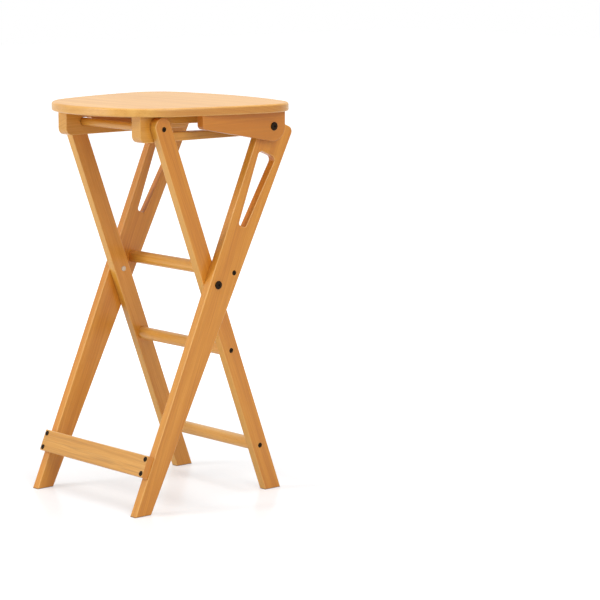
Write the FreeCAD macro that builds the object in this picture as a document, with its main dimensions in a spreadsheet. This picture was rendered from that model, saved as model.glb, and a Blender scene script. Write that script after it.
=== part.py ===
# Folding bar stool of solid wood: a wide handle frame, an inner frame that crosses it at two
# pivot bolts, and a seat that hinges on the handle frame and slides on the inner frame's top dowel.
# Millimetres. X runs along the rungs, the front with the footrest is -Y, Z is up.
# The origin is on the floor, under the middle of the seat.
import FreeCAD, Part
import Sketcher
import math
import os

DIMS = [
    # pivots, in the side view
    ("pivot_height", 421.0),
    ("pivot_back", 7.8),
    ("pivot_arm", 320.7),
    ("handle_frame_lean", 22.71),
    ("inner_frame_lean", 20.55),
    # widths across the stool
    ("frame_width", 333.0),
    ("handle_leg_thickness", 18.0),
    ("inner_leg_thickness", 18.0),
    ("bracket_thickness", 18.0),
    ("rail_thickness", 27.0),
    ("washer_thickness", 0.5),
    # seat board
    ("seat_pivot_drop", 28.7),
    ("seat_thickness", 16.5),
    ("seat_front_radius", 236.0),
    ("seat_front_turn", 20.5),
    ("seat_shoulder_radius", 151.0),
    ("seat_shoulder_turn", 49.7),
    ("seat_side_radius", 800.0),
    ("seat_side_turn", 14.5),
    ("seat_corner_radius", 77.5),
    ("seat_corner_turn", 79.2),
    ("seat_top_round", 4.5),
    ("seat_bottom_round", 3.0),
    # outer brackets under the seat
    ("bracket_reach", 173.4),
    ("bracket_end_radius", 28.5),
    ("bracket_slope", 10.6),
    ("bracket_corner", 9.0),
    # slotted rails under the seat
    ("rail_nose", 41.6),
    ("rail_tail", 14.0),
    ("rail_strip", 12.7),
    ("rail_corner", 13.0),
    # handle legs
    ("handle_front_margin", 19.4),
    ("handle_rear_margin", 40.9),
    ("handle_front_taper", 0.60),
    ("handle_rear_taper", 3.88),
    ("handle_top_reach", 17.5),
    ("handle_front_corner", 16.5),
    ("handle_rear_corner", 11.0),
    ("hand_hole_low", 122.0),
    ("hand_hole_high", 271.0),
    ("hand_hole_low_front", 4.6),
    ("hand_hole_low_width", 17.8),
    ("hand_hole_high_front", -0.6),
    ("hand_hole_high_width", 43.8),
    ("hand_hole_low_corner", 5.5),
    ("hand_hole_high_corner", 9.0),
    # inner legs
    ("inner_leg_width", 36.2),
    ("inner_leg_setback", 2.4),
    ("inner_top_reach", 4.4),
    ("leg_edge_round", 2.0),
    ("under_edge_round", 1.5),
    # rungs, top dowel and footrest
    ("upper_rung_up", 33.3),
    ("upper_rung_back", 28.6),
    ("upper_rung_diameter", 24.4),
    ("middle_rung_height", 287.2),
    ("middle_rung_diameter", 24.4),
    ("lower_rung_height", 91.3),
    ("lower_rung_diameter", 24.4),
    ("top_dowel_diameter", 15.0),
    ("slot_clearance", 0.5),
    ("footrest_rise", 75.7),
    ("footrest_width", 42.0),
    ("footrest_thickness", 14.0),
    ("footrest_inset", 2.5),
    # pivot hardware
    ("bolt_diameter", 6.0),
    ("bolt_head_diameter", 16.0),
    ("bolt_head_height", 2.2),
    ("bolt_head_round", 1.0),
    ("bolt_socket", 4.0),
    ("bolt_socket_depth", 1.6),
    ("sleeve_diameter", 8.0),
    ("sleeve_cap_diameter", 10.5),
    ("sleeve_cap_thickness", 1.2),
    ("insert_diameter", 10.0),
    ("insert_length", 15.0),
    ("washer_diameter", 16.0),
    ("running_clearance", 0.08),
    # wood screws
    ("screw_diameter", 5.0),
    ("screw_length", 45.0),
    ("screw_head_diameter", 10.0),
    ("screw_head_height", 3.0),
    ("screw_head_sink", 0.3),
    ("screw_socket", 3.0),
    ("screw_socket_depth", 1.8),
    ("button_head_height", 1.6),
    ("footrest_screw_spacing", 28.0),
    ("footrest_screw_length", 38.0),
    ("pilot_clearance", 0.05),
]


class Size:
    """A length or an angle: its value, and the expression over the sheet that gives it."""

    def __init__(self, value, text):
        self.value = float(value)
        self.text = text

    def __add__(self, other):
        other = size(other)
        return Size(self.value + other.value, "(%s + %s)" % (self.text, other.text))

    def __radd__(self, other):
        return size(other) + self

    def __sub__(self, other):
        other = size(other)
        return Size(self.value - other.value, "(%s - %s)" % (self.text, other.text))

    def __rsub__(self, other):
        return size(other) - self

    def __mul__(self, other):
        other = size(other)
        return Size(self.value * other.value, "%s * %s" % (self.text, other.text))

    def __rmul__(self, other):
        return size(other) * self

    def __truediv__(self, other):
        other = size(other)
        return Size(self.value / other.value, "%s / (%s)" % (self.text, other.text))

    def __neg__(self):
        return Size(-self.value, "(0 - %s)" % self.text)


def size(x):
    if isinstance(x, Size):
        return x
    return Size(x, ("%.6f" % x).rstrip("0").rstrip(".") if x >= 0 else "(0 - %s)" % size(-x).text)


def sin(angle):
    return Size(math.sin(math.radians(angle.value)), "sin(%s)" % angle.text)


def cos(angle):
    return Size(math.cos(math.radians(angle.value)), "cos(%s)" % angle.text)


def asin(ratio):
    return Size(math.degrees(math.asin(ratio.value)), "asin(%s) / 1deg" % ratio.text)


def tan(angle):
    return Size(math.tan(math.radians(angle.value)), "tan(%s)" % angle.text)


doc = FreeCAD.newDocument("FoldingStool")
sheet = doc.addObject("Spreadsheet::Sheet", "Dims")
for row, (alias, number) in enumerate(DIMS, start=1):
    sheet.set("A%d" % row, alias)
    sheet.set("B%d" % row, str(number))
    sheet.setAlias("B%d" % row, alias)
doc.recompute()


class Dim:
    def __getattr__(self, alias):
        return Size(dict(DIMS)[alias], "Dims." + alias)


d = Dim()
ZERO = size(0.0)

# planes across the stool, from the outside in (the +X side)
handle_out = d.frame_width / 2
handle_in = handle_out - d.handle_leg_thickness
inner_out = handle_in - d.washer_thickness
inner_in = inner_out - d.inner_leg_thickness
rail_out = inner_in - d.slot_clearance
rail_in = rail_out - d.rail_thickness
bracket_in = handle_out + d.washer_thickness
bracket_out = bracket_in + d.bracket_thickness

# the three pivot lines in the side view: P crosses the legs, T hinges the seat, D is the top dowel.
# T and D are both one pivot_arm from P, so the seat turns half as far as the legs.
lean = d.handle_frame_lean
P = (d.pivot_back, d.pivot_height)
T = (P[0] + d.pivot_arm * sin(lean), P[1] + d.pivot_arm * cos(lean))
D = (P[0] - d.pivot_arm * sin(d.inner_frame_lean), P[1] + d.pivot_arm * cos(d.inner_frame_lean))
under_seat = T[1] + d.seat_pivot_drop


def up_leg(along, back):
    """A point in the handle leg's own directions from P: along the leg, and square to it."""
    along = size(along)
    back = size(back)
    return (P[0] + along * sin(lean) + back * cos(lean), P[1] + along * cos(lean) - back * sin(lean))


U = up_leg(d.upper_rung_up, d.upper_rung_back)

# the inner legs are straight: their middle line goes through D and passes a little in front of P
inner_slope = d.inner_frame_lean - asin(d.inner_leg_setback / d.pivot_arm)
inner_foot = D[0] + D[1] * tan(inner_slope)


def on_inner_leg(height):
    return (inner_foot - tan(inner_slope) * height, height)


M = on_inner_leg(d.middle_rung_height)
L = on_inner_leg(d.lower_rung_height)
slot_radius = d.top_dowel_diameter / 2 + d.slot_clearance


def new_body(label):
    body = doc.addObject("PartDesign::Body", label + "_body")
    body.Label = label
    if hasattr(body, "AllowCompound"):
        body.AllowCompound = True
    return body


def new_sketch(body, name, role, base=None, turn=None):
    """A sketch on one of the body's origin planes, moved by base and turned about its own X."""
    sketch = body.newObject("Sketcher::SketchObject", name)
    plane = [f for f in body.Origin.OriginFeatures if f.Role == role][0]
    sketch.AttachmentSupport = [(plane, "")]
    sketch.MapMode = "FlatFace"
    base = base or (ZERO, ZERO, ZERO)
    base = tuple(size(b) for b in base)
    angle = turn.value if turn is not None else 0.0
    sketch.AttachmentOffset = FreeCAD.Placement(
        FreeCAD.Vector(base[0].value, base[1].value, base[2].value),
        FreeCAD.Rotation(FreeCAD.Vector(1, 0, 0), angle))
    for axis, b in zip("xyz", base):
        if b is not ZERO:
            sketch.setExpression("AttachmentOffset.Base." + axis, b.text)
    if turn is not None:
        sketch.setExpression("AttachmentOffset.Rotation.Angle", turn.text)
    return sketch


def pin_point(sketch, geo, pos, u, v):
    """Hold a sketch point at (u, v) from the sketch's origin."""
    for kind, amount, axis in (("DistanceX", size(u), -2), ("DistanceY", size(v), -1)):
        if amount is ZERO or amount.text == "0":
            sketch.addConstraint(Sketcher.Constraint("PointOnObject", geo, pos, axis))
        elif amount.value >= 0:
            n = sketch.addConstraint(Sketcher.Constraint(kind, -1, 1, geo, pos, amount.value))
            sketch.setExpression("Constraints[%d]" % n, amount.text)
        else:
            n = sketch.addConstraint(Sketcher.Constraint(kind, geo, pos, -1, 1, -amount.value))
            sketch.setExpression("Constraints[%d]" % n, "0 - (%s)" % amount.text)


def add_loop(sketch, corners):
    """A closed outline. Each corner is (u, v) or (u, v, radius, turn): the side that leaves it is
    straight, or an arc of that radius that bends left (turn 1) or right (turn -1)."""
    count = len(corners)
    spots = [FreeCAD.Vector(size(c[0]).value, size(c[1]).value, 0) for c in corners]
    sides = []
    for i, corner in enumerate(corners):
        a = spots[i]
        b = spots[(i + 1) % count]
        if len(corner) == 2:
            geo = sketch.addGeometry(Part.LineSegment(a, b), False)
            sides.append((geo, 1, 2))
            continue
        radius, turn = size(corner[2]), corner[3]
        half = (b - a) * 0.5
        rise = math.sqrt(max(radius.value ** 2 - half.Length ** 2, 0.0))
        left = FreeCAD.Vector(-half.y, half.x, 0) / half.Length
        centre = a + half + left * (rise * turn)
        first, last = (a, b) if turn > 0 else (b, a)
        start = math.atan2(first.y - centre.y, first.x - centre.x)
        end = math.atan2(last.y - centre.y, last.x - centre.x)
        if end <= start:
            end += 2 * math.pi
        circle = Part.Circle(centre, FreeCAD.Vector(0, 0, 1), radius.value)
        geo = sketch.addGeometry(Part.ArcOfCircle(circle, start, end), False)
        sides.append((geo, 1, 2) if turn > 0 else (geo, 2, 1))
        n = sketch.addConstraint(Sketcher.Constraint("Radius", geo, radius.value))
        sketch.setExpression("Constraints[%d]" % n, radius.text)
    for i in range(count):
        geo, _, out = sides[i]
        after, into, _ = sides[(i + 1) % count]
        sketch.addConstraint(Sketcher.Constraint("Coincident", geo, out, after, into))
    for i, corner in enumerate(corners):
        geo, into, _ = sides[i]
        pin_point(sketch, geo, into, corner[0], corner[1])


def add_circle(sketch, u, v, diameter):
    u, v, radius = size(u), size(v), size(diameter) / 2
    spot = FreeCAD.Vector(u.value, v.value, 0)
    geo = sketch.addGeometry(Part.Circle(spot, FreeCAD.Vector(0, 0, 1), radius.value), False)
    n = sketch.addConstraint(Sketcher.Constraint("Radius", geo, radius.value))
    sketch.setExpression("Constraints[%d]" % n, radius.text)
    pin_point(sketch, geo, 3, u, v)


def add_hexagon(sketch, u, v, across):
    """A hexagonal socket, flats a key width apart."""
    u, v, across = size(u), size(v), size(across)
    reach = across / math.sqrt(3)
    corners = []
    for k in range(6):
        c = math.cos(math.radians(60 * k))
        s = math.sin(math.radians(60 * k))
        corners.append((u + reach * c, v + reach * s if k % 3 else v))
    add_loop(sketch, corners)


def pad(body, sketch, length, reverse=False):
    feature = body.newObject("PartDesign::Pad", sketch.Name + "_pad")
    feature.Profile = sketch
    feature.Length = size(length).value
    feature.setExpression("Length", size(length).text)
    feature.Reversed = reverse
    sketch.Visibility = False
    doc.recompute()
    return feature


def pocket(body, sketch, depth=None, reverse=False):
    """Cut the sketch to a depth, or right through both ways without one."""
    before = body.Shape.Volume
    feature = body.newObject("PartDesign::Pocket", sketch.Name + "_pocket")
    feature.Profile = sketch
    if depth is None:
        feature.Type = 1
        feature.Midplane = True
    else:
        feature.Length = size(depth).value
        feature.setExpression("Length", size(depth).text)
        feature.Reversed = reverse
    doc.recompute()
    if not body.Shape.Volume < before - 0.1:
        raise RuntimeError("pocket %s cuts nothing" % feature.Name)
    return feature


def round_edges(body, name, radius, wanted):
    """Round the edges that a test picks."""
    radius = size(radius)
    tip = body.Tip
    names = []
    for i, edge in enumerate(tip.Shape.Edges, start=1):
        if wanted(edge):
            names.append("Edge%d" % i)
    if not names:
        raise RuntimeError("no edge to round on " + body.Label)
    feature = body.newObject("PartDesign::Fillet", name)
    feature.Base = (tip, names)
    feature.Radius = radius.value
    feature.setExpression("Radius", radius.text)
    doc.recompute()
    return feature


def runs_along_x(edge):
    a, b = edge.Vertexes[0].Point, edge.Vertexes[-1].Point
    return abs(a.x - b.x) > 1.0 and abs(a.y - b.y) < 1e-6 and abs(a.z - b.z) < 1e-6


def near(edge, spot, reach=0.01):
    """The edge runs across the board through this point of the side view."""
    p = edge.Vertexes[0].Point
    away = math.hypot(p.y - size(spot[0]).value, p.z - size(spot[1]).value)
    return runs_along_x(edge) and away < reach


def on_faces(*planes):
    """Outline edges on the board's flat faces; small bores are left sharp."""
    def wanted(edge):
        box = edge.BoundBox
        if box.XLength > 1e-6:
            return False
        if not any(abs(box.XMin - x) < 1e-6 for x in planes):
            return False
        curve = edge.Curve
        return not (curve.TypeId == "Part::GeomCircle" and edge.isClosed())
    return wanted


def sides():
    """The two sides of the stool: name, and the sign of X."""
    return (("left", -1), ("right", 1))


def low_x(side, inner, outer):
    """Where a board between two planes starts along +X, on either side."""
    return inner if side > 0 else -outer


def yz(body, name, x):
    return new_sketch(body, name, "YZ_Plane", (ZERO, ZERO, x))


def mirrored(side, outline):
    """The same half outline on the other side, still going round the same way."""
    if side > 0:
        return outline
    return [(-x, r) for x, r in outline][::-1]


def countersink(body, name, side, face, spot):
    """A conical seat for a screw head, turned about the screw's line."""
    before = body.Shape.Volume
    head = d.screw_head_diameter / 2 + d.pilot_clearance
    bore = d.screw_diameter / 2 + d.pilot_clearance
    rim = face - d.screw_head_sink
    floor = rim - d.screw_head_height
    section = new_sketch(body, name + "_section", "XZ_Plane", (ZERO, spot[1], -spot[0]))
    add_loop(section, mirrored(side, [(floor, ZERO), (face + 1, ZERO), (face + 1, head), (rim, head), (floor, bore)]))
    feature = body.newObject("PartDesign::Groove", name)
    feature.Profile = section
    feature.ReferenceAxis = (section, ["H_Axis"])
    feature.Angle = 360.0
    doc.recompute()
    if not body.Shape.Volume < before - 0.1:
        raise RuntimeError("countersink %s cuts nothing" % name)


# handle leg outline: two leaning edges that close in towards the foot, at their margins from P,
# and a top cut square to the leg
top_along = d.pivot_arm + d.handle_top_reach
front = lean + d.handle_front_taper
rear = lean + d.handle_rear_taper
front_at_pivot = up_leg(0, -d.handle_front_margin)
rear_at_pivot = up_leg(0, d.handle_rear_margin)
foot_front = front_at_pivot[0] - front_at_pivot[1] * tan(front)
foot_rear = rear_at_pivot[0] - rear_at_pivot[1] * tan(rear)
top_front = up_leg(top_along, top_along * tan(d.handle_front_taper) - d.handle_front_margin)
top_rear = up_leg(top_along, top_along * tan(d.handle_rear_taper) + d.handle_rear_margin)
hole = [up_leg(d.hand_hole_low, d.hand_hole_low_front),
        up_leg(d.hand_hole_low, d.hand_hole_low_front + d.hand_hole_low_width),
        up_leg(d.hand_hole_high, d.hand_hole_high_front + d.hand_hole_high_width),
        up_leg(d.hand_hole_high, d.hand_hole_high_front)]


def on_front(rise, out):
    """A point of the side view that is rise up the handle legs' front faces and out from them."""
    rise = size(rise)
    out = size(out)
    return (foot_front + rise * sin(front) - out * cos(front),
            rise * cos(front) + out * sin(front))


def front_sketch(body, name, out):
    y, z = on_front(ZERO, out)
    return new_sketch(body, name, "XZ_Plane", (ZERO, z, -y), -front)


pilot = d.screw_diameter + 2 * d.pilot_clearance
footrest_mid = d.footrest_rise + d.footrest_width / 2
footrest_screws_at = (footrest_mid - d.footrest_screw_spacing / 2,
                      footrest_mid + d.footrest_screw_spacing / 2)
footrest_screw_x = handle_in + d.handle_leg_thickness / 2

for name, side in sides():
    body = new_body("handle_leg_" + name)
    low = low_x(side, handle_in, handle_out)
    outline = yz(body, "handle_outline_" + name, low)
    add_loop(outline, [(foot_front, ZERO), (foot_rear, ZERO), top_rear, top_front])
    add_circle(outline, P[0], P[1], d.bolt_diameter + 2 * d.running_clearance)
    add_circle(outline, T[0], T[1], d.insert_diameter)
    add_circle(outline, U[0], U[1], pilot)
    pad(body, outline, d.handle_leg_thickness)
    opening = yz(body, "hand_hole_" + name, low)
    add_loop(opening, hole)
    pocket(body, opening)
    round_edges(body, "top_front_corner_" + name, d.handle_front_corner, lambda e: near(e, top_front))
    round_edges(body, "top_rear_corner_" + name, d.handle_rear_corner, lambda e: near(e, top_rear))
    round_edges(body, "hole_low_corners_" + name, d.hand_hole_low_corner,
                lambda e: near(e, hole[0]) or near(e, hole[1]))
    round_edges(body, "hole_high_corners_" + name, d.hand_hole_high_corner,
                lambda e: near(e, hole[2]) or near(e, hole[3]))
    round_edges(body, "handle_edges_" + name, d.leg_edge_round,
                on_faces(low.value, low.value + d.handle_leg_thickness.value))
    countersink(body, "upper_screw_seat_" + name, side, handle_out, U)
    holes = front_sketch(body, "footrest_pilots_" + name, ZERO)
    for rise in footrest_screws_at:
        add_circle(holes, side * footrest_screw_x, rise, pilot)
    pocket(body, holes, d.footrest_screw_length - d.footrest_thickness)

# inner leg outline: a straight board about the line from its foot to the top dowel, round-ended
half_foot = d.inner_leg_width / (2 * cos(inner_slope))
half_width = d.inner_leg_width / 2


def beside_dowel(across):
    """A point beside the centre of the leg's round top."""
    return (D[0] - d.inner_top_reach * sin(inner_slope) + across * cos(inner_slope),
            D[1] + d.inner_top_reach * cos(inner_slope) + across * sin(inner_slope))


top_right = beside_dowel(half_width)
top_tip = (D[0] - (d.inner_top_reach + half_width) * sin(inner_slope),
           D[1] + (d.inner_top_reach + half_width) * cos(inner_slope))
top_left = beside_dowel(-half_width)

for name, side in sides():
    body = new_body("inner_leg_" + name)
    low = low_x(side, inner_in, inner_out)
    outline = yz(body, "inner_outline_" + name, low)
    add_loop(outline, [(inner_foot - half_foot, ZERO), (inner_foot + half_foot, ZERO),
                       (top_right[0], top_right[1], half_width, 1),
                       (top_tip[0], top_tip[1], half_width, 1), top_left])
    add_circle(outline, P[0], P[1], d.sleeve_diameter + 2 * d.running_clearance)
    for spot in (D, M, L):
        add_circle(outline, spot[0], spot[1], pilot)
    pad(body, outline, d.inner_leg_thickness)
    round_edges(body, "inner_edges_" + name, d.leg_edge_round,
                on_faces(low.value, low.value + d.inner_leg_thickness.value))
    for seat, spot in (("dowel", D), ("middle", M), ("lower", L)):
        countersink(body, seat + "_screw_seat_" + name, side, inner_out, spot)

# footrest: a board across the front faces of the handle legs
body = new_body("footrest_board")
half_rest = handle_out - d.footrest_inset
outline = yz(body, "footrest_outline", -half_rest)
rest_top = d.footrest_rise + d.footrest_width
add_loop(outline, [on_front(d.footrest_rise, ZERO), on_front(rest_top, ZERO),
                   on_front(rest_top, d.footrest_thickness),
                   on_front(d.footrest_rise, d.footrest_thickness)][::-1])
pad(body, outline, 2 * half_rest)
rest_front = [on_front(d.footrest_rise, d.footrest_thickness), on_front(rest_top, d.footrest_thickness)]
round_edges(body, "footrest_edges", d.leg_edge_round,
            lambda e: near(e, rest_front[0]) or near(e, rest_front[1]))
holes = front_sketch(body, "footrest_bores", d.footrest_thickness)
for side in (-1, 1):
    for rise in footrest_screws_at:
        add_circle(holes, side * footrest_screw_x, rise, pilot)
pocket(body, holes, d.footrest_thickness + 1)

# rungs and top dowel: round bars between two legs, with a pilot bore in each end
grip = d.screw_length - d.handle_leg_thickness + d.screw_head_sink + 1


def rung(label, spot, diameter, half_length):
    body = new_body(label)
    end = yz(body, label + "_section", -half_length)
    add_circle(end, spot[0], spot[1], diameter)
    pad(body, end, 2 * half_length)
    for name, side in sides():
        bore = yz(body, label + "_bore_" + name, half_length if side > 0 else -half_length)
        add_circle(bore, spot[0], spot[1], pilot)
        pocket(body, bore, grip, reverse=side < 0)
    return body


rung("upper_rung", U, d.upper_rung_diameter, handle_in)
rung("middle_rung", M, d.middle_rung_diameter, inner_in)
rung("lower_rung", L, d.lower_rung_diameter, inner_in)
rung("top_dowel", D, d.top_dowel_diameter, inner_in)


def turned(label, spot, outlines):
    """A body turned about the line through spot along X, from half outlines of (x, radius)."""
    body = new_body(label)
    section = new_sketch(body, label + "_section", "XZ_Plane", (ZERO, spot[1], -spot[0]))
    for outline in outlines:
        add_loop(section, outline)
    feature = body.newObject("PartDesign::Revolution", label + "_turn")
    feature.Profile = section
    feature.ReferenceAxis = (section, ["H_Axis"])
    feature.Angle = 360.0
    doc.recompute()
    return body


def hex_socket(body, name, side, face, spots, across, depth):
    sketch = yz(body, name, face if side > 0 else -face)
    for spot in spots:
        add_hexagon(sketch, spot[0], spot[1], across)
    pocket(body, sketch, depth, reverse=side < 0)


# wood screws, in pairs on one line: a countersunk head in the leg and a shank into the rung's end
def rung_screws(label, spot, face):
    head_top = face - d.screw_head_sink
    head_seat = head_top - d.screw_head_height
    tip = head_top - d.screw_length
    radius = d.screw_diameter / 2
    shape = [(tip, ZERO), (head_top, ZERO), (head_top, d.screw_head_diameter / 2), (head_seat, radius),
             (tip + radius, radius)]
    body = turned(label, spot, [mirrored(1, shape), mirrored(-1, shape)])
    for name, side in sides():
        hex_socket(body, label + "_socket_" + name, side, head_top, [spot], d.screw_socket,
                   d.screw_socket_depth)


rung_screws("upper_rung_screws", U, handle_out)
rung_screws("middle_rung_screws", M, inner_out)
rung_screws("lower_rung_screws", L, inner_out)
rung_screws("top_dowel_screws", D, inner_out)

# footrest screws: button heads on the board's front, two at each end
body = new_body("footrest_screws")
shanks = front_sketch(body, "footrest_shanks", d.footrest_thickness)
heads = front_sketch(body, "footrest_heads", d.footrest_thickness)
sockets = front_sketch(body, "footrest_sockets", d.footrest_thickness + d.button_head_height)
for side in (-1, 1):
    for rise in footrest_screws_at:
        add_circle(shanks, side * footrest_screw_x, rise, d.screw_diameter)
        add_circle(heads, side * footrest_screw_x, rise, d.screw_head_diameter)
        add_hexagon(sockets, side * footrest_screw_x, rise, d.screw_socket)
pad(body, shanks, d.footrest_screw_length - 1, reverse=True)
pad(body, heads, d.button_head_height)
rims = d.screw_head_diameter.value / 2
round_edges(body, "button_heads", d.button_head_height / 2,
            lambda e: e.Curve.TypeId == "Part::GeomCircle" and abs(e.Curve.Radius - rims) < 1e-6
            and e.Curve.Center.z > (on_front(ZERO, d.footrest_thickness)[1].value
                                    + (e.Curve.Center.y - on_front(ZERO, d.footrest_thickness)[0].value)
                                    / math.tan(math.radians(front.value)) + 0.5))
pocket(body, sockets, d.screw_socket_depth * 0.7)

# pivot hardware on each side
for name, side in sides():
    # bolt through both legs: the head outside, the shank in a sleeve nut that carries the inner leg
    bolt_r = d.bolt_diameter / 2
    head_r = d.bolt_head_diameter / 2
    tip = inner_in + d.sleeve_cap_thickness
    top = handle_out + d.bolt_head_height
    shape = [(tip, ZERO), (top, ZERO), (top, head_r - d.bolt_head_round),
             (top - d.bolt_head_round, head_r), (handle_out, head_r), (handle_out, bolt_r), (tip, bolt_r)]
    body = turned("leg_pivot_bolt_" + name, P, [mirrored(side, shape)])
    hex_socket(body, "leg_bolt_socket_" + name, side, top, [P], d.bolt_socket, d.bolt_socket_depth)

    sleeve_r = d.sleeve_diameter / 2
    cap_r = d.sleeve_cap_diameter / 2
    bore_r = bolt_r + d.running_clearance
    cap = inner_in - d.sleeve_cap_thickness
    shape = [(cap, ZERO), (tip - d.running_clearance, ZERO), (tip - d.running_clearance, bore_r),
             (handle_in, bore_r), (handle_in, sleeve_r), (inner_in, sleeve_r), (inner_in, cap_r),
             (cap + d.sleeve_cap_thickness / 2, cap_r), (cap, cap_r - d.sleeve_cap_thickness / 2)]
    turned("leg_pivot_sleeve_" + name, P, [mirrored(side, shape)])

    washer_bore = sleeve_r + d.running_clearance
    shape = [(inner_out, washer_bore), (handle_in, washer_bore),
             (handle_in, d.washer_diameter / 2), (inner_out, d.washer_diameter / 2)]
    turned("leg_pivot_washer_" + name, P, [mirrored(side, shape)])

    # seat bolt: through the bracket into a threaded insert, flush inside the handle leg
    tip = handle_out - d.insert_length + 1
    top = bracket_out + d.bolt_head_height
    shape = [(tip, ZERO), (top, ZERO), (top, head_r - d.bolt_head_round),
             (top - d.bolt_head_round, head_r), (bracket_out, head_r), (bracket_out, bolt_r), (tip, bolt_r)]
    body = turned("seat_pivot_bolt_" + name, T, [mirrored(side, shape)])
    hex_socket(body, "seat_bolt_socket_" + name, side, top, [T], d.bolt_socket, d.bolt_socket_depth)

    shape = [(handle_out - d.insert_length, bore_r), (handle_out, bore_r),
             (handle_out, d.insert_diameter / 2), (handle_out - d.insert_length, d.insert_diameter / 2)]
    turned("seat_pivot_insert_" + name, T, [mirrored(side, shape)])

    shape = [(handle_out, bore_r), (bracket_in, bore_r),
             (bracket_in, d.washer_diameter / 2), (handle_out, d.washer_diameter / 2)]
    turned("seat_pivot_washer_" + name, T, [mirrored(side, shape)])

# seat brackets: deep and round about the seat pivot, shallow at the front
slope = d.bracket_slope
end = d.bracket_end_radius
bracket_front = T[0] - d.bracket_reach
touch = (T[0] - end * sin(slope), T[1] - end * cos(slope))
front_low = (bracket_front, touch[1] + (touch[0] - bracket_front) * tan(slope))
for name, side in sides():
    body = new_body("seat_bracket_" + name)
    low = low_x(side, bracket_in, bracket_out)
    outline = yz(body, "bracket_outline_" + name, low)
    add_loop(outline, [(bracket_front, under_seat), front_low, (touch[0], touch[1], end, 1),
                       (T[0] + end, T[1]), (T[0] + end, under_seat)])
    add_circle(outline, T[0], T[1], d.bolt_diameter + 2 * d.running_clearance)
    pad(body, outline, d.bracket_thickness)
    round_edges(body, "bracket_corner_" + name, d.bracket_corner, lambda e: near(e, front_low))
    seat_line = under_seat.value
    faces = on_faces(low.value, low.value + d.bracket_thickness.value)
    round_edges(body, "bracket_edges_" + name, d.under_edge_round,
                lambda e: faces(e) and e.BoundBox.ZMin < seat_line - 1e-6)

# slotted rails: the top dowel slides from the front of the slot to the seat pivot's line
rail_low = T[1] - slot_radius - d.rail_strip
rail_front = D[0] - d.rail_nose
rail_rear = T[0] + slot_radius + d.rail_tail
tilt = (d.handle_frame_lean - d.inner_frame_lean) / 2


def beside_slot(centre, across):
    return (centre[0] + across * sin(tilt), centre[1] + across * cos(tilt))


def slot_end(centre, along):
    return (centre[0] + along * cos(tilt), centre[1] - along * sin(tilt))


for name, side in sides():
    body = new_body("slotted_rail_" + name)
    low = low_x(side, rail_in, rail_out)
    outline = yz(body, "rail_outline_" + name, low)
    add_loop(outline, [(rail_front, rail_low), (rail_rear, rail_low), (rail_rear, under_seat),
                       (rail_front, under_seat)])
    pad(body, outline, d.rail_thickness)
    slot = yz(body, "rail_slot_" + name, low)
    corners = [beside_slot(D, -slot_radius), beside_slot(T, -slot_radius), slot_end(T, slot_radius),
               beside_slot(T, slot_radius), beside_slot(D, slot_radius), slot_end(D, -slot_radius)]
    add_loop(slot, [corners[0], corners[1] + (slot_radius, 1), corners[2] + (slot_radius, 1),
                    corners[3], corners[4] + (slot_radius, 1), corners[5] + (slot_radius, 1)])
    pocket(body, slot)
    bottom_corners = [(rail_front, rail_low), (rail_rear, rail_low)]
    round_edges(body, "rail_corners_" + name, d.rail_corner,
                lambda e: near(e, bottom_corners[0]) or near(e, bottom_corners[1]))
    faces = on_faces(low.value, low.value + d.rail_thickness.value)
    round_edges(body, "rail_edges_" + name, d.under_edge_round,
                lambda e: faces(e) and e.BoundBox.ZMin < seat_line - 1e-6)

# seat board: front, shoulder, side, corner and rear arcs, each running into the next
body = new_body("seat_board")
t1 = d.seat_front_turn
t2 = t1 + d.seat_shoulder_turn
t3 = t2 + d.seat_side_turn
t4 = t3 + d.seat_corner_turn
s1 = (d.seat_front_radius * sin(t1), d.seat_front_radius * (1 - cos(t1)))
s2 = (s1[0] + d.seat_shoulder_radius * (sin(t2) - sin(t1)), s1[1] + d.seat_shoulder_radius * (cos(t1) - cos(t2)))
s3 = (s2[0] + d.seat_side_radius * (sin(t3) - sin(t2)), s2[1] + d.seat_side_radius * (cos(t2) - cos(t3)))
s4 = (s3[0] + d.seat_corner_radius * (sin(t4) - sin(t3)), s3[1] + d.seat_corner_radius * (cos(t3) - cos(t4)))
rear_radius = s4[0] / sin(t4)
seat_depth = s4[1] + rear_radius * (1 + cos(t4))
outline = new_sketch(body, "seat_outline", "XY_Plane", (ZERO, -seat_depth / 2, under_seat))
add_loop(outline, [
    (-s1[0], s1[1], d.seat_front_radius, 1),
    (s1[0], s1[1], d.seat_shoulder_radius, 1),
    (s2[0], s2[1], d.seat_side_radius, 1),
    (s3[0], s3[1], d.seat_corner_radius, 1),
    (s4[0], s4[1], rear_radius, 1),
    (-s4[0], s4[1], d.seat_corner_radius, 1),
    (-s3[0], s3[1], d.seat_side_radius, 1),
    (-s2[0], s2[1], d.seat_shoulder_radius, 1),
])
pad(body, outline, d.seat_thickness)
seat_top = under_seat.value + d.seat_thickness.value
round_edges(body, "seat_top_edge", d.seat_top_round,
            lambda e: abs(e.BoundBox.ZMin - seat_top) < 1e-6 and e.BoundBox.ZLength < 1e-6)
round_edges(body, "seat_under_edge", d.seat_bottom_round,
            lambda e: abs(e.BoundBox.ZMin - under_seat.value) < 1e-6 and e.BoundBox.ZLength < 1e-6)

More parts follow.
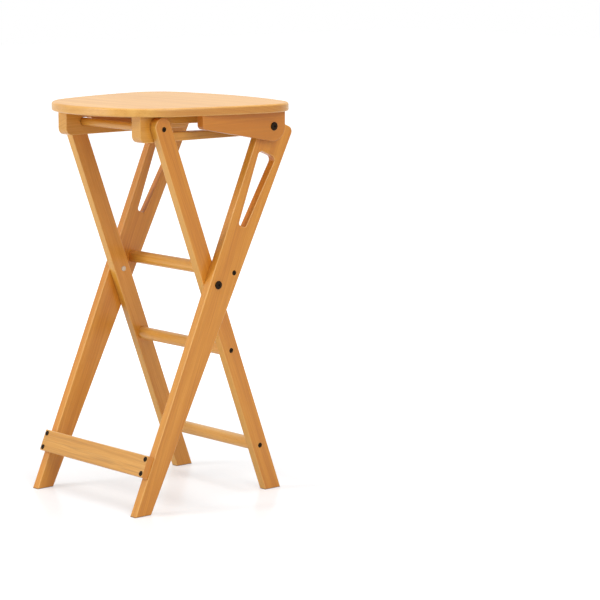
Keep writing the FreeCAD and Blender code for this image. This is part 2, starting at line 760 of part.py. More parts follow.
doc.recompute()
for obj in doc.Objects:
    if "Invalid" in obj.State or "Error" in obj.State:
        raise RuntimeError("%s failed: %s" % (obj.Name, obj.State))
os.makedirs("parts", exist_ok=True)
total = 0
for body in doc.Objects:
    if body.TypeId != "PartDesign::Body":
        continue
    shape = body.Shape
    if shape.isNull() or not shape.isValid() or not shape.Solids:
        raise RuntimeError("bad shape: " + body.Label)
    shape.exportStep("parts/%s.step" % body.Label)
    total += 1
    box = shape.BoundBox
    print("%-28s solids %d  volume %9.1f  x %.1f..%.1f  y %.1f..%.1f  z %.1f..%.1f" % (
        body.Label, len(shape.Solids), shape.Volume, box.XMin, box.XMax, box.YMin, box.YMax,
        box.ZMin, box.ZMax))
print("parts", total)
print("P", P[0].value, P[1].value, "T", T[0].value, T[1].value, "D", D[0].value, D[1].value)
print("fold angle", d.handle_frame_lean.value + d.inner_frame_lean.value, "depth", seat_depth.value)
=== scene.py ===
# A tall folding stool of clear-lacquered rubberwood on a white studio floor.
import math
import bpy
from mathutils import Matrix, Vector


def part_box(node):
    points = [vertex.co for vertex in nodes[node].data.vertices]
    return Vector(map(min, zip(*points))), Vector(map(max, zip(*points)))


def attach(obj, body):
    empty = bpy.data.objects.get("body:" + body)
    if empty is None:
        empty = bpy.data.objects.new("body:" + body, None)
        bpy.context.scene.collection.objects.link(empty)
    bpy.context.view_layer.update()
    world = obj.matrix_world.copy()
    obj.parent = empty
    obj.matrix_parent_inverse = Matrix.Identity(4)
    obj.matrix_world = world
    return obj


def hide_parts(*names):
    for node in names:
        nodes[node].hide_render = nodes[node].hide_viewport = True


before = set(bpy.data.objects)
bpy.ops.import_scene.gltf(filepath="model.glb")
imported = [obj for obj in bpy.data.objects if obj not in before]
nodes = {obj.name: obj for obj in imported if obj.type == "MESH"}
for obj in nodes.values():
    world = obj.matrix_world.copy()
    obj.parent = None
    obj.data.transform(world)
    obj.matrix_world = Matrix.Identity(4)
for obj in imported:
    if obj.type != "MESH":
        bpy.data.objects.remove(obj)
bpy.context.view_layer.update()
scene = bpy.context.scene

MM = 0.001
HANDLE_LEAN = math.radians(22.71)    # the handle legs lean back towards +Y
FOOTREST_LEAN = math.radians(23.31)  # their front edges, which carry the footrest, a little more
INNER_LEAN = math.radians(20.12)     # the inner legs lean forward, towards -Y
LEG_PIVOT = Vector((0.0, 7.8 * MM, 421.0 * MM))
HAND_HOLE_ALONG = (115 * MM, 285 * MM)  # from the leg pivot, up the handle leg
HAND_HOLE_ACROSS = (-10 * MM, 46 * MM)  # and across it, towards its rear


def linear(hex_code):
    """A colour written as sRGB hex, as the linear values that Blender's sockets hold."""
    parts = [int(hex_code[i:i + 2], 16) / 255 for i in (1, 3, 5)]
    return tuple(p / 12.92 if p <= 0.04045 else ((p + 0.055) / 1.055) ** 2.4 for p in parts) + (1.0,)


WHITE = linear("#FFFFFF")


def add(tree, kind, settings=None, links=None):
    """Adds a node. settings are its attributes, its input sockets' values or a colour ramp's stops, and
    links are its input sockets' sources."""
    node = tree.nodes.new(kind)
    for key, value in (settings or {}).items():
        if key == "stops":
            points = node.color_ramp.elements
            while len(points) < len(value):
                points.new(0.5)
            for point, (position, colour) in zip(points, value):
                point.position = position
                point.color = colour
        elif isinstance(key, str) and hasattr(node, key):
            setattr(node, key, value)
        else:
            node.inputs[key].default_value = value
    for key, source in (links or {}).items():
        tree.links.new(source, node.inputs[key])
    return node


def empty_material(name):
    material = bpy.data.materials.new(name)
    material.use_nodes = True
    material.node_tree.nodes.clear()
    return material, material.node_tree


def weighted_sum(tree, terms, constant=0.0):
    """A constant plus each term's value times its weight."""
    total = None
    for value, weight in terms:
        links = {0: value} if total is None else {0: value, 2: total}
        total = add(tree, "ShaderNodeMath", {"operation": "MULTIPLY_ADD", 1: weight, 2: constant},
                    links).outputs["Value"]
    return total


def stretched_noise(tree, source, long, wide, detail=2.0, roughness=0.5):
    """Noise whose cells are long along the board and wide across it."""
    drawn = add(tree, "ShaderNodeMapping", {"Scale": (1 / long, 1 / wide, 1 / wide)}, {"Vector": source})
    noise = add(tree, "ShaderNodeTexNoise", {"Scale": 1.0, "Detail": detail, "Roughness": roughness},
                {"Vector": drawn.outputs["Vector"]})
    return noise.outputs


def growth_rings(tree, board, seed):
    """Annual rings about a pith beside the board. The pith leans a little along the board's length, so
    that flat faces cut the rings in long arches."""
    ring_spacing = 3 * MM
    pith = ((45 + 11 * (seed % 4)) * MM, (60 + 9 * (seed % 3)) * MM, 0.0)
    across = add(tree, "ShaderNodeVectorMath", {"operation": "DOT_PRODUCT", 1: (0.035, 1.0, 0.0)},
                 {0: board})
    deep = add(tree, "ShaderNodeVectorMath", {"operation": "DOT_PRODUCT", 1: (-0.021, 0.0, 1.0)},
               {0: board})
    section = add(tree, "ShaderNodeCombineXYZ",
                  links={"X": across.outputs["Value"], "Y": deep.outputs["Value"]})
    from_pith = add(tree, "ShaderNodeVectorMath", {"operation": "ADD", 1: pith},
                    {0: section.outputs["Vector"]})
    radius = add(tree, "ShaderNodeVectorMath", {"operation": "LENGTH"},
                 {0: from_pith.outputs["Vector"]})
    rings = add(tree, "ShaderNodeTexNoise",
                {"noise_dimensions": "1D", "Scale": 1 / ring_spacing, "Detail": 2.0},
                {"W": radius.outputs["Value"]})
    return rings.outputs["Fac"]


def in_hand_hole(tree, spot):
    """1 inside the part of a handle leg that its hand hole takes up, 0 elsewhere."""
    sine = math.sin(HANDLE_LEAN)
    cosine = math.cos(HANDLE_LEAN)
    inside = {}
    for socket, way, (start, end) in ((0, (0.0, cosine, -sine), HAND_HOLE_ACROSS),
                                      (1, (0.0, sine, cosine), HAND_HOLE_ALONG)):
        reach = add(tree, "ShaderNodeVectorMath", {"operation": "DOT_PRODUCT", 1: way}, {0: spot})
        middle = LEG_PIVOT.dot(Vector(way)) + (start + end) / 2
        within = add(tree, "ShaderNodeMath", {"operation": "COMPARE", 1: middle, 2: (end - start) / 2},
                     {0: reach.outputs["Value"]})
        inside[socket] = within.outputs["Value"]
    return add(tree, "ShaderNodeMath", {"operation": "MULTIPLY"}, inside).outputs["Value"]


# what lies over the timber's own tone: brown streaks, and painted light and shade, namely painted light
# on the narrow sides, a painted highlight on the rounded edges, painted shade in the hand holes, painted
# light on what faces up and painted contact shade at the feet; and the film's roughness over dense and
# over open fibres
STREAK_BROWN = linear("#8A5B2C")
PAINTED_SIDE_LIGHT_GOLD = linear("#D7A03D")
PAINTED_EDGE_HIGHLIGHT_CREAM = linear("#F0C070")
PAINTED_HOLE_SHADE_AMBER = linear("#C46A20")
PAINTED_TOP_LIGHT_PALE = linear("#F2CB8C")
PAINTED_CONTACT_SHADE_DARK = linear("#4A2A14")
FILM_ROUGHNESS = (0.31, 0.44)
PATTERN_STEP = (0.731, 0.017, 0.013)  # metres that the pattern moves from one board to the next


def lacquered_rubberwood(name, seed, turn, tones, lighter=0.0, painted_side_light=0.0, painted_edge_highlight=0.0, streaks=0.08,
                         painted_top_light=0.0, painted_hole_shade=0.0):
    """Rubberwood under clear satin lacquer: faint arched rings, slow drifts of tone, straight fibres,
    short brown pores, and darker sawn ends. turn lays the board's length along the pattern's X, seed
    moves each board to its own timber, and lighter is its tone beside its fellows', which on the seat
    brackets holds painted shade from the seat above them. painted_side_light and painted_edge_highlight
    are how much paler a board's narrow sides and rounded edges are painted than its broad X faces, as
    painted light and a painted highlight; painted_top_light is how much paler what faces up is painted,
    as painted light from above; and painted_hole_shade is how much darker and redder the walls of the
    hand holes are painted, as painted shade."""
    pale, body, dark, end_grain = (linear(tone) for tone in tones)
    material, tree = empty_material(name)
    place = add(tree, "ShaderNodeTexCoord").outputs
    board = add(tree, "ShaderNodeMapping",
                {"Location": [seed * step for step in PATTERN_STEP], "Rotation": turn},
                {"Vector": place["Object"]}).outputs["Vector"]
    # slow wander of the grain, some 3 mm sideways over a hand's length
    wander = stretched_noise(tree, board, 140 * MM, 33 * MM)["Color"]
    sway = add(tree, "ShaderNodeVectorMath", {"operation": "MULTIPLY_ADD", 1: (0.0, 6 * MM, 6 * MM)},
               {0: wander, 2: board}).outputs["Vector"]

    rings = growth_rings(tree, sway, seed)
    drift = stretched_noise(tree, sway, 400 * MM, 17 * MM)["Fac"]
    # the fibres are finer than 0.1 mm, so they are drawn in bundles 1.4 mm wide, which show
    fibres = stretched_noise(tree, sway, 90 * MM, 1.4 * MM, 4.0, 0.6)["Fac"]
    tone = weighted_sum(tree, ((fibres, 0.34), (drift, 0.42), (rings, 0.17)), 0.035 + lighter)
    timber = add(tree, "ShaderNodeValToRGB", {"stops": ((0.36, dark), (0.5, body), (0.64, pale))},
                 {"Fac": tone})

    # marks in the grain: length and width in mm, detail, the noise at which they start and are full,
    # and their strength
    marks = {}
    for mark, long, wide, detail, start, full, strength in (
            ("streaks", 170, 4, 3.0, 0.5, 0.68, streaks),
            # the real pores are 0.2 mm wide, too fine to show, so they are drawn coarser, in two sizes
            ("flecks", 14, 1.3, 2.0, 0.6, 0.74, 1.0),
            ("pores", 7, 0.5, 1.0, 0.62, 0.74, 1.0)):
        noise = stretched_noise(tree, sway, long * MM, wide * MM, detail)["Fac"]
        marks[mark] = add(tree, "ShaderNodeMapRange",
                          {"From Min": start, "From Max": full, "To Max": strength},
                          {"Value": noise}).outputs["Result"]
    browned = weighted_sum(tree, ((marks["pores"], 0.4), (marks["flecks"], 0.38)))

    # painted light and shade: the narrow sides are painted paler, the rounded edges carry a painted
    # highlight, and the walls of the hand holes carry painted shade. Each zone goes by how squarely a
    # face looks along X: where it starts, where it is full, and its strength
    facing = add(tree, "ShaderNodeSeparateXYZ", links={"Vector": place["Normal"]}).outputs
    broad = add(tree, "ShaderNodeMath", {"operation": "ABSOLUTE"}, {0: facing["X"]}).outputs["Value"]
    zones = {}
    for zone, start, full, strength in (("narrow", 0.6, 0.2, painted_side_light), ("walls", 0.6, 0.2, painted_hole_shade),
                                        ("off_side", 0.05, 0.35, painted_edge_highlight), ("off_face", 0.995, 0.9, 1.0)):
        zones[zone] = add(tree, "ShaderNodeMapRange",
                          {"From Min": start, "From Max": full, "To Max": strength},
                          {"Value": broad}).outputs["Result"]
    # painted highlight: the rounded edges between broad and narrow faces are painted paler
    edge_highlight_share = add(tree, "ShaderNodeMath", {"operation": "MULTIPLY"},
               {0: zones["off_side"], 1: zones["off_face"]})
    # painted shade: the walls of the hand holes are painted darker and redder
    hole_shade_share = add(tree, "ShaderNodeMath", {"operation": "MULTIPLY"},
                 {0: in_hand_hole(tree, place["Object"]), 1: zones["walls"]})
    # painted light from above: faces that look up are painted paler
    skyward = add(tree, "ShaderNodeMapRange", {"From Min": 0.45, "From Max": 0.95, "To Max": painted_top_light},
                  {"Value": facing["Z"]})

    # over the timber go its brown streaks and pores, then the painted light on the narrow sides, the
    # painted highlight on the edges, the painted shade in the hand holes and the painted light on what
    # faces up
    colour = timber.outputs["Color"]
    for share, tint in ((marks["streaks"], STREAK_BROWN), (browned, end_grain),
                        (zones["narrow"], PAINTED_SIDE_LIGHT_GOLD), (edge_highlight_share.outputs["Value"], PAINTED_EDGE_HIGHLIGHT_CREAM),
                        (hole_shade_share.outputs["Value"], PAINTED_HOLE_SHADE_AMBER), (skyward.outputs["Result"], PAINTED_TOP_LIGHT_PALE)):
        colour = add(tree, "ShaderNodeMix", {"data_type": "RGBA", 7: tint},
                     {0: share, 6: colour}).outputs[2]

    # a sawn end looks along the fibres: darker, and speckled by the cut pores, drawn 0.7 mm wide
    length = add(tree, "ShaderNodeMapping", {"vector_type": "NORMAL", "Rotation": turn},
                 {"Vector": place["Normal"]})
    lengthwise = add(tree, "ShaderNodeSeparateXYZ", links={"Vector": length.outputs["Vector"]})
    along = add(tree, "ShaderNodeMath", {"operation": "ABSOLUTE"}, {0: lengthwise.outputs["X"]})
    sawn = add(tree, "ShaderNodeMapRange", {"From Min": 0.78, "From Max": 0.97},
               {"Value": along.outputs["Value"]})
    speck = add(tree, "ShaderNodeTexNoise", {"Scale": 1 / (0.7 * MM), "Detail": 2.0}, {"Vector": board})
    end_tone = weighted_sum(tree, ((rings, 0.3), (speck.outputs["Fac"], 0.7)))
    end_face = add(tree, "ShaderNodeValToRGB", {"stops": ((0.36, end_grain), (0.75, dark))},
                   {"Fac": end_tone})
    ended = add(tree, "ShaderNodeMix", {"data_type": "RGBA"},
                {0: sawn.outputs["Result"], 6: colour, 7: end_face.outputs["Color"]})
    # the last 2 mm above the floor are painted darker, as painted contact shade where the feet stand on
    # the floor
    height = add(tree, "ShaderNodeSeparateXYZ", links={"Vector": place["Object"]})
    contact_shade_share = add(tree, "ShaderNodeMapRange", {"From Min": 2.2 * MM, "From Max": 0.8 * MM, "To Max": 0.75},
               {"Value": height.outputs["Z"]})
    contact_shaded = add(tree, "ShaderNodeMix", {"data_type": "RGBA", 7: PAINTED_CONTACT_SHADE_DARK},
               {0: contact_shade_share.outputs["Result"], 6: ended.outputs[2]})

    sheen = add(tree, "ShaderNodeMapRange", {"To Min": FILM_ROUGHNESS[0], "To Max": FILM_ROUGHNESS[1]},
                {"Value": fibres})
    # open grain stands about 0.03 mm under the film
    relief = add(tree, "ShaderNodeMath", {"operation": "MULTIPLY_ADD", 1: -0.7},
                 {0: marks["pores"], 2: fibres})
    bump = add(tree, "ShaderNodeBump", {"Strength": 0.35, "Distance": 0.03 * MM},
               {"Height": relief.outputs["Value"]})
    shader = add(tree, "ShaderNodeBsdfPrincipled",
                 {"IOR": 1.5, "Coat Weight": 0.1, "Coat Roughness": 0.2, "Coat IOR": 1.5},
                 {"Base Color": contact_shaded.outputs[2], "Roughness": sheen.outputs["Result"],
                  "Normal": bump.outputs["Normal"]})
    add(tree, "ShaderNodeOutputMaterial", links={"Surface": shader.outputs["BSDF"]})
    return material


def steel(name, dark, light, roughness, speckle):
    """Turned steel. A tumbled speckle breaks up its gloss, drawn coarser than the real one, 0.3 mm
    across, so that it shows."""
    material, tree = empty_material(name)
    place = add(tree, "ShaderNodeTexCoord")
    grain = add(tree, "ShaderNodeTexNoise", {"Scale": 1 / (0.3 * MM), "Detail": 2.0},
                {"Vector": place.outputs["Object"]})
    rough = add(tree, "ShaderNodeMapRange",
                {"To Min": roughness - speckle, "To Max": roughness + speckle},
                {"Value": grain.outputs["Fac"]})
    bump = add(tree, "ShaderNodeBump", {"Strength": 0.2, "Distance": 0.02 * MM},
               {"Height": grain.outputs["Fac"]})
    tint = add(tree, "ShaderNodeValToRGB", {"stops": ((0.2, linear(dark)), (0.8, linear(light)))},
               {"Fac": grain.outputs["Fac"]})
    shader = add(tree, "ShaderNodeBsdfPrincipled", {"Metallic": 1.0},
                 {"Base Color": tint.outputs["Color"], "Roughness": rough.outputs["Result"],
                  "Normal": bump.outputs["Normal"]})
    add(tree, "ShaderNodeOutputMaterial", links={"Surface": shader.outputs["BSDF"]})
    return material


# the way each piece's length runs, as the turn that lays it along the pattern's X
ALONG_X = (0.0, 0.0, 0.0)
ALONG_Y = (0.0, 0.0, math.radians(-90))
UP_HANDLE = (HANDLE_LEAN, math.radians(90), 0.0)
UP_INNER = (-INNER_LEAN, math.radians(90), 0.0)

# pale, body and dark of the timber, and its sawn ends
FRAME_TONES = ("#DE983A", "#D28929", "#C3771D", "#CC7C25")
DOWEL_TONES = ("#E2A54A", "#D69636", "#C68428", "#B87223")
RAIL_TONES = ("#DDA047", "#D19134", "#C28027", "#DBA349")
SEAT_TONES = ("#E4B05D", "#DCA34F", "#D0953F", "#B8752D")
FOOTREST_TONES = ("#DEA552", "#D19643", "#C18534", "#D48020")

# beside each board's own tone and streaks, its settings paint light and shade: paler narrow sides and
# paler tops as painted light, paler edges as a painted highlight, and darker hand holes as painted shade
boards = {
    "seat_board": {"turn": ALONG_X, "tones": SEAT_TONES},
    # the seat brackets' darker tone is painted shade from the seat above them
    "seat_bracket_left": {"turn": ALONG_Y, "tones": FRAME_TONES, "lighter": -0.10},
    "seat_bracket_right": {"turn": ALONG_Y, "tones": FRAME_TONES, "lighter": -0.15},
    "slotted_rail_left": {"turn": ALONG_Y, "tones": RAIL_TONES, "lighter": 0.05, "painted_edge_highlight": 0.3},
    "slotted_rail_right": {"turn": ALONG_Y, "tones": RAIL_TONES, "painted_edge_highlight": 0.3},
    "handle_leg_left": {"turn": UP_HANDLE, "tones": FRAME_TONES, "painted_edge_highlight": 0.4, "painted_hole_shade": 0.15},
    "handle_leg_right": {"turn": UP_HANDLE, "tones": FRAME_TONES, "lighter": -0.03, "painted_side_light": 0.25,
                         "painted_edge_highlight": 0.45, "painted_hole_shade": 0.5},
    "inner_leg_left": {"turn": UP_INNER, "tones": FRAME_TONES, "lighter": 0.05, "painted_side_light": 0.7,
                       "painted_edge_highlight": 0.4},
    "inner_leg_right": {"turn": UP_INNER, "tones": FRAME_TONES, "lighter": -0.05, "painted_side_light": 0.7,
                        "painted_edge_highlight": 0.4},
    "footrest_board": {"turn": ALONG_X, "tones": FOOTREST_TONES, "streaks": 0.4, "painted_top_light": 0.5},
    "upper_rung": {"turn": ALONG_X, "tones": DOWEL_TONES, "painted_top_light": 0.25},
    "middle_rung": {"turn": ALONG_X, "tones": DOWEL_TONES, "lighter": 0.05, "painted_top_light": 0.3},
    "lower_rung": {"turn": ALONG_X, "tones": DOWEL_TONES, "lighter": 0.15, "painted_top_light": 0.5},
    "top_dowel": {"turn": ALONG_X, "tones": DOWEL_TONES},
}


def dress(node, material):
    """Gives a CAD node one material."""
    node.data.materials.clear()
    node.data.materials.append(material)


for seed, (name, timber) in enumerate(boards.items(), start=1):
    dress(nodes[name], lacquered_rubberwood("lacquered_rubberwood_" + name, seed, **timber))

# black oxide gives the bolts and screws a soft, near-black sheen with a brown cast, and yellow zinc the
# sleeve nuts and inserts a warm, pale silver
black_steel = steel("black_oxide_steel", "#1E1710", "#33281C", 0.42, 0.08)
zinc_steel = steel("yellow_zinc_steel", "#AE9A83", "#C6B39C", 0.4, 0.06)
for name, node in nodes.items():
    if name not in boards:
        dress(node, zinc_steel if "sleeve" in name or "insert" in name else black_steel)

# screw heads, drawn finer than the CAD's
SCREW_SIZES = {"Shank Radius": 2.5 * MM, "Head Radius": 5.0 * MM, "Socket Across": 3.0 * MM,
               "Socket Depth": 1.8 * MM}
COUNTERSUNK = {"Taper": 2.4 * MM, "Rim": 0.4 * MM, "Crown": 0.2 * MM, "Crown Inset": 0.35 * MM,
               "Length": 42.0 * MM}
BUTTON_HEAD = {"Taper": 0.0, "Rim": 0.5 * MM, "Crown": 1.1 * MM, "Crown Inset": 1.9 * MM,
               "Length": 37.0 * MM}
ROUND_SIDES = 48
CROWN_STEPS = 4
CREASE = math.radians(28)
FOOTREST_THICKNESS = 14.0 * MM
FOOTREST_SCREW_SPACING = 28.0 * MM


def screw_tree():
    """Geometry Nodes: one hex-socket screw at each point of a mesh, its head facing the point's axis.
    The head is drawn up from the shank's top face, a step at a time."""
    tree = bpy.data.node_groups.new("hex_screws", "GeometryNodeTree")
    face = tree.interface
    face.new_socket("Geometry", in_out="INPUT", socket_type="NodeSocketGeometry")
    for label in list(SCREW_SIZES) + list(COUNTERSUNK):
        face.new_socket(label, in_out="INPUT", socket_type="NodeSocketFloat")
    face.new_socket("Spin Seed", in_out="INPUT", socket_type="NodeSocketInt")
    face.new_socket("Material", in_out="INPUT", socket_type="NodeSocketMaterial")
    face.new_socket("Geometry", in_out="OUTPUT", socket_type="NodeSocketGeometry")
    given = add(tree, "NodeGroupInput").outputs

    def draw_up(mesh, top, rise, radius, last_radius):
        """Extrudes the top face by rise and brings it from last_radius to radius."""
        ratio = add(tree, "ShaderNodeMath", {"operation": "DIVIDE"}, {0: radius, 1: last_radius})
        up = add(tree, "GeometryNodeExtrudeMesh", {"mode": "FACES", "Individual": False},
                 {"Mesh": mesh, "Selection": top, "Offset Scale": rise})
        wide = add(tree, "GeometryNodeScaleElements", {"domain": "FACE"},
                   {"Geometry": up.outputs["Mesh"], "Selection": up.outputs["Top"],
                    "Scale": ratio.outputs["Value"]})
        return wide.outputs["Geometry"], up.outputs["Top"]

    shank = add(tree, "GeometryNodeMeshCylinder", {"Vertices": ROUND_SIDES},
                {"Radius": given["Shank Radius"], "Depth": given["Length"]})
    head = given["Head Radius"]
    mesh, top = draw_up(shank.outputs["Mesh"], shank.outputs["Top"], given["Taper"], head,
                        given["Shank Radius"])
    mesh, top = draw_up(mesh, top, given["Rim"], head, head)
    last = head
    for step in range(1, CROWN_STEPS + 1):
        turn = math.pi / 2 * step / CROWN_STEPS
        before = math.pi / 2 * (step - 1) / CROWN_STEPS
        radius = weighted_sum(tree, ((given["Crown Inset"], math.cos(turn) - 1), (head, 1.0)))
        rise = weighted_sum(tree, ((given["Crown"], math.sin(turn) - math.sin(before)),))
        mesh, top = draw_up(mesh, top, rise, radius, last)
        last = radius
    # the cylinder stands about its middle, so this brings the head's top to the point itself
    drop = weighted_sum(tree, ((given["Length"], -0.5), (given["Taper"], -1.0), (given["Rim"], -1.0),
                               (given["Crown"], -1.0)))
    down = add(tree, "ShaderNodeCombineXYZ", links={"Z": drop})
    seated = add(tree, "GeometryNodeTransform",
                 links={"Geometry": mesh, "Translation": down.outputs["Vector"]})

    # the hexagon's radius reaches its corners, and half of it stands above the head
    corner = weighted_sum(tree, ((given["Socket Across"], 1 / math.sqrt(3)),))
    depth = weighted_sum(tree, ((given["Socket Depth"], 2.0),))
    hexagon = add(tree, "GeometryNodeMeshCylinder", {"Vertices": 6}, {"Radius": corner, "Depth": depth})
    cut = add(tree, "GeometryNodeMeshBoolean", {"operation": "DIFFERENCE", "solver": "EXACT"},
              {"Mesh 1": seated.outputs["Geometry"], "Mesh 2": hexagon.outputs["Mesh"]})
    smooth = add(tree, "GeometryNodeSetShadeSmooth", {"domain": "FACE", "Shade Smooth": True},
                 {"Geometry": cut.outputs["Mesh"]})
    angle = add(tree, "GeometryNodeInputMeshEdgeAngle")
    sharp = add(tree, "FunctionNodeCompare", {"operation": "GREATER_THAN", 1: CREASE},
                {0: angle.outputs["Unsigned Angle"]})
    creased = add(tree, "GeometryNodeSetShadeSmooth", {"domain": "EDGE", "Shade Smooth": False},
                  {"Geometry": smooth.outputs["Geometry"], "Selection": sharp.outputs["Result"]})

    axis = add(tree, "GeometryNodeInputNamedAttribute", {"data_type": "FLOAT_VECTOR", "Name": "axis"})
    aimed = add(tree, "FunctionNodeAlignRotationToVector", {"axis": "Z"},
                {"Vector": axis.outputs["Attribute"]})
    chance = add(tree, "FunctionNodeRandomValue", {"data_type": "FLOAT", 2: 0.0, 3: math.tau},
                 {"Seed": given["Spin Seed"]})
    spin = add(tree, "FunctionNodeAxisAngleToRotation", {"Axis": (0.0, 0.0, 1.0)},
               {"Angle": chance.outputs[1]})
    driven = add(tree, "FunctionNodeRotateRotation", {"rotation_space": "LOCAL"},
                 {"Rotation": aimed.outputs["Rotation"], "Rotate By": spin.outputs["Rotation"]})
    placed = add(tree, "GeometryNodeInstanceOnPoints",
                 links={"Points": given["Geometry"], "Instance": creased.outputs["Geometry"],
                        "Rotation": driven.outputs["Rotation"]})
    real = add(tree, "GeometryNodeRealizeInstances", links={"Geometry": placed.outputs["Instances"]})
    dressed = add(tree, "GeometryNodeSetMaterial",
                  links={"Geometry": real.outputs["Geometry"], "Material": given["Material"]})
    add(tree, "NodeGroupOutput", links={"Geometry": dressed.outputs["Geometry"]})
    return tree


def drive_screws(name, tree, sizes, seats, body, replaced, spin_seed):
    """Sets screws at seats, pairs of (head's top, axis), and bakes them to a plain mesh on a body."""
    points = bpy.data.meshes.new(name)
    points.from_pydata([spot for spot, axis in seats], [], [])
    axes = points.attributes.new("axis", "FLOAT_VECTOR", "POINT")
    axes.data.foreach_set("vector", [part for spot, axis in seats for part in axis])
    piece = bpy.data.objects.new(name, points)
    scene.collection.objects.link(piece)
    modifier = piece.modifiers.new("screws", "NODES")
    modifier.node_group = tree
    values = {**SCREW_SIZES, **sizes, "Spin Seed": spin_seed, "Material": black_steel}
    for socket in tree.interface.items_tree:
        if socket.in_out == "INPUT" and socket.name in values:
            modifier[socket.identifier] = values[socket.name]
    finished = piece.evaluated_get(bpy.context.evaluated_depsgraph_get())
    piece.data = bpy.data.meshes.new_from_object(finished)
    piece.modifiers.clear()
    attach(piece, body)
    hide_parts(*replaced)


def seats_on_line(node):
    """The two seats of a pair of screws that stand on one line along X."""
    low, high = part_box(node)
    middle = (low + high) / 2
    return [(Vector((x, middle.y, middle.z)), Vector((math.copysign(1.0, x), 0.0, 0.0)))
            for x in (low.x, high.x)]


def seats_on_footrest():
    """Two seats at each end of the footrest board, on its front face."""
    low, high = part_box("footrest_board")
    middle = (low + high) / 2
    up = Vector((0.0, math.sin(FOOTREST_LEAN), math.cos(FOOTREST_LEAN)))
    out = Vector((0.0, -math.cos(FOOTREST_LEAN), math.sin(FOOTREST_LEAN)))
    top = FOOTREST_THICKNESS / 2 + BUTTON_HEAD["Rim"] + BUTTON_HEAD["Crown"]
    last_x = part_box("footrest_screws")[1].x - SCREW_SIZES["Head Radius"]
    return [(Vector((x, middle.y, middle.z)) + out * top + up * rise, out)
            for x in (-last_x, last_x)
            for rise in (-FOOTREST_SCREW_SPACING / 2, FOOTREST_SCREW_SPACING / 2)]


screws = screw_tree()
inner_pairs = ("middle_rung_screws", "lower_rung_screws", "top_dowel_screws")
inner_seats = [seat for pair in inner_pairs for seat in seats_on_line(pair)]
drive_screws("inner_frame_screws", screws, COUNTERSUNK, inner_seats, "inner_frame", inner_pairs, 3)
drive_screws("handle_frame_screws", screws, COUNTERSUNK, seats_on_line("upper_rung_screws"),
             "handle_frame", ("upper_rung_screws",), 5)
drive_screws("footrest_button_screws", screws, BUTTON_HEAD, seats_on_footrest(), "handle_frame",
             ("footrest_screws",), 8)

FLOOR_REACH = 14.0            # metres from the floor's middle to its edges
FLOOR_WHITE = linear("#D9DADC")
FLOOR_GLOSS = 0.17            # share of the floor's light that is mirrored
FLOOR_LIFT = (0.36, 0.80)     # what the camera sees the floor brighter by, near the stool and far away
FLOOR_LIFT_SPAN = (0.2, 1.5)  # and the metres from its middle between which that grows
ROOM_LIGHT = 0.34             # the white room's light on the stool


def satin_white_floor():
    """The white floor takes the stool's soft shadow and a faint reflection, and runs out to a plain
    white."""
    material, tree = empty_material("satin_white_floor")
    rays = add(tree, "ShaderNodeLightPath")
    matt = add(tree, "ShaderNodeBsdfDiffuse", {"Color": FLOOR_WHITE})
    satin = add(tree, "ShaderNodeBsdfGlossy", {"Roughness": 0.22})
    sheen = add(tree, "ShaderNodeMixShader", {0: FLOOR_GLOSS},
                {1: matt.outputs["BSDF"], 2: satin.outputs["BSDF"]})
    place = add(tree, "ShaderNodeTexCoord")
    away = add(tree, "ShaderNodeVectorMath", {"operation": "LENGTH"}, {0: place.outputs["Object"]})
    lift = add(tree, "ShaderNodeMapRange",
               {"interpolation_type": "SMOOTHSTEP", "From Min": FLOOR_LIFT_SPAN[0],
                "From Max": FLOOR_LIFT_SPAN[1], "To Min": FLOOR_LIFT[0], "To Max": FLOOR_LIFT[1]},
               {"Value": away.outputs["Value"]})
    looked_at = add(tree, "ShaderNodeMath", {"operation": "MAXIMUM"},
                    {0: rays.outputs["Is Camera Ray"], 1: rays.outputs["Is Glossy Ray"]})
    seen = add(tree, "ShaderNodeMath", {"operation": "MULTIPLY"},
               {0: looked_at.outputs["Value"], 1: lift.outputs["Result"]})
    glow = add(tree, "ShaderNodeEmission", {"Color": WHITE}, {"Strength": seen.outputs["Value"]})
    both = add(tree, "ShaderNodeAddShader",
               links={0: sheen.outputs["Shader"], 1: glow.outputs["Emission"]})
    add(tree, "ShaderNodeOutputMaterial", links={"Surface": both.outputs["Shader"]})
    return material


floor_mesh = bpy.data.meshes.new("floor")
floor_mesh.from_pydata([(x * FLOOR_REACH, y * FLOOR_REACH, 0.0)
                        for x, y in ((-1, -1), (1, -1), (1, 1), (-1, 1))], [], [(0, 1, 2, 3)])
floor = bpy.data.objects.new("floor", floor_mesh)
scene.collection.objects.link(floor)
floor_mesh.materials.append(satin_white_floor())

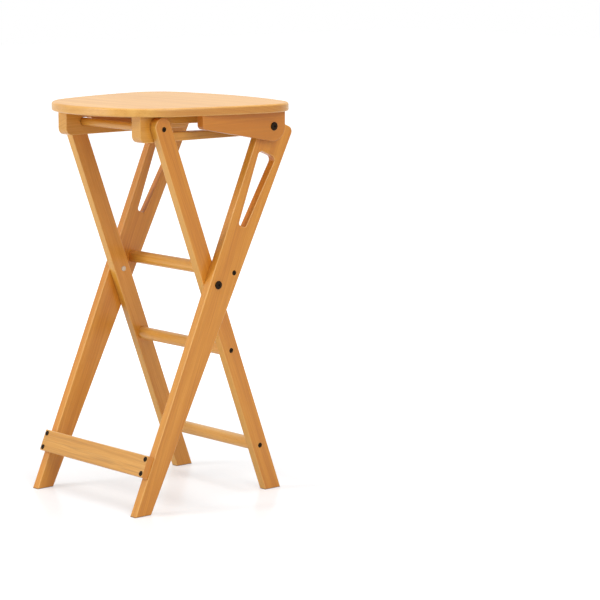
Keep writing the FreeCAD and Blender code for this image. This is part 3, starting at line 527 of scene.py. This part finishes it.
# the room: white to the camera and in reflections, a plain soft light on the stool
world = bpy.data.worlds.new("white_studio")
world.use_nodes = True
scene.world = world
sky = world.node_tree
sky.nodes.clear()
rays = add(sky, "ShaderNodeLightPath").outputs
mirrored = add(sky, "ShaderNodeMath", {"operation": "MAXIMUM"},
               {0: rays["Is Glossy Ray"], 1: rays["Is Transmission Ray"]})
seen = add(sky, "ShaderNodeMath", {"operation": "MAXIMUM"},
           {0: rays["Is Camera Ray"], 1: mirrored.outputs["Value"]})
level = add(sky, "ShaderNodeMapRange", {"To Min": ROOM_LIGHT, "To Max": 1.0},
            {"Value": seen.outputs["Value"]})
backdrop = add(sky, "ShaderNodeBackground", {"Color": WHITE}, {"Strength": level.outputs["Result"]})
add(sky, "ShaderNodeOutputWorld", links={"Surface": backdrop.outputs["Background"]})

# softboxes: place, the spot that each faces, width, height and watts
softboxes = {
    "key_from_front": ((-1.55, -3.25, 2.4), (0.0, 0.0, 0.4), 1.0, 1.0, 50.0),
    "low_front": ((-1.3, -3.3, 0.6), (0.0, 0.0, 0.5), 2.0, 1.0, 20.0),
    "overhead": ((0.2, 0.1, 3.8), (0.0, 0.0, 0.4), 3.0, 3.0, 72.0),
    "fill_from_right": ((3.1, -0.6, 2.2), (0.0, 0.0, 0.4), 2.0, 2.0, 52.0),
}
for name, (spot, aim, width, height, watts) in softboxes.items():
    lamp = bpy.data.lights.new(name, "AREA")
    lamp.shape = "RECTANGLE"
    lamp.size = width
    lamp.size_y = height
    lamp.energy = watts
    holder = bpy.data.objects.new(name, lamp)
    scene.collection.objects.link(holder)
    holder.location = spot
    holder.rotation_euler = (Vector(aim) - Vector(spot)).to_track_quat("-Z", "Y").to_euler()

# the photograph's view: a long lens, a little above the seat
CAMERA_PLACE = (3.7634, -2.9372, 1.1150)
CAMERA_YAW = math.radians(138.783)  # from +X, round towards +Y
CAMERA_PITCH = math.radians(8.840)  # downwards
camera_data = bpy.data.cameras.new("camera")
camera_data.sensor_fit = "HORIZONTAL"
camera_data.sensor_width = 36.0
camera_data.lens = 148.66
camera_data.clip_end = 60.0
camera = bpy.data.objects.new("camera", camera_data)
scene.collection.objects.link(camera)
camera.location = CAMERA_PLACE
look = Vector((math.cos(CAMERA_YAW) * math.cos(CAMERA_PITCH),
               math.sin(CAMERA_YAW) * math.cos(CAMERA_PITCH), -math.sin(CAMERA_PITCH)))
camera.rotation_euler = look.to_track_quat("-Z", "Y").to_euler()
scene.camera = camera

scene.view_settings.view_transform = "Standard"
